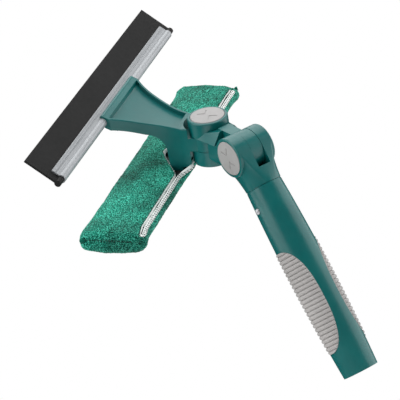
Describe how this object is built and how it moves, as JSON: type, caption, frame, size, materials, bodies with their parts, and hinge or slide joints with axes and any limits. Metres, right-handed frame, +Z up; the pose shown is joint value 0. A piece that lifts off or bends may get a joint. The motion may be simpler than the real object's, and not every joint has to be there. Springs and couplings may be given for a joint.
{
  "type": "window cleaning squeegee",
  "caption": "Two-in-one window cleaner: rubber squeegee blade in a rail and a microfibre washer on a head that swivels and tilts at a locking double joint, with a ribbed pole-mount handle.",
  "frame": {"origin": "middle of the pole socket's open mouth, at the handle's lower end", "axes": "+Z up along the handle; X is the handle pivot's axis, with its push button on +X; the tilted link and head lean towards -Y"},
  "size_m": [0.2703, 0.1881, 0.362],
  "materials": {
    "teal_plastic": "satin moulded plastic",
    "grey_plastic": "satin moulded plastic",
    "grip_rubber": "soft matt, ribbed",
    "black_rubber": "matt",
    "aluminium": "extruded, satin",
    "steel": "bright zinc plated",
    "dark_plastic": "moulded plastic",
    "microfibre": "short looped pile, mottled",
    "white_tape": "woven hem tape"
  },
  "bodies": {
    "handle": {"handle_tube": "teal_plastic", "grip_left": "grip_rubber", "grip_right": "grip_rubber", "neck_fork": "teal_plastic", "click_spring": "steel", "handle_pivot_pin": "steel", "handle_pivot_clip": "steel"},
    "link": {"link_arm": "teal_plastic", "head_swivel_pin": "steel", "head_swivel_clip": "steel", "handle_pivot_lock_spring": "steel"},
    "head": {"head_bracket": "teal_plastic", "rail_clamp": "teal_plastic", "rail_clamp_screws": "steel", "blade_rail": "aluminium", "rubber_blade": "black_rubber", "washer_bar": "dark_plastic", "washer_bar_screws": "steel", "washer_sleeve": "microfibre", "sleeve_tape": "white_tape", "head_swivel_lock_spring": "steel"},
    "handle_button": {"handle_pivot_button": "grey_plastic", "handle_pivot_lock_gear": "dark_plastic"},
    "swivel_button": {"head_swivel_button": "grey_plastic", "head_swivel_lock_gear": "dark_plastic"},
    "latch": {"click_pin": "steel"}
  },
  "joints": [
    {"name": "handle_pivot", "type": "hinge", "parent": "handle", "child": "link", "pos_m": [0, 0, 0.1983], "axis": [1, 0, 0], "range_deg": [-144, 36]},
    {"name": "head_swivel", "type": "hinge", "parent": "link", "child": "head", "pos_m": [0, -0.03883, 0.22651], "axis": [0, 0.5878, 0.809], "range_deg": [-108, 36]},
    {"name": "handle_pivot_push", "type": "slide", "parent": "handle", "child": "handle_button", "axis": [-1, 0, 0], "range_m": [0, 0.0034], "stiffness_N_per_m": 900, "springref_m": -0.004, "deforming": ["handle_pivot_lock_spring"]},
    {"name": "head_swivel_push", "type": "slide", "parent": "link", "child": "swivel_button", "axis": [0, -0.5878, -0.809], "range_m": [0, 0.0034], "stiffness_N_per_m": 900, "springref_m": -0.004, "deforming": ["head_swivel_lock_spring"]},
    {"name": "click_pin_push", "type": "slide", "parent": "handle", "child": "latch", "axis": [-1, 0, 0], "range_m": [0, 0.0046], "stiffness_N_per_m": 600, "springref_m": -0.003, "deforming": ["click_spring"]}
  ]
}
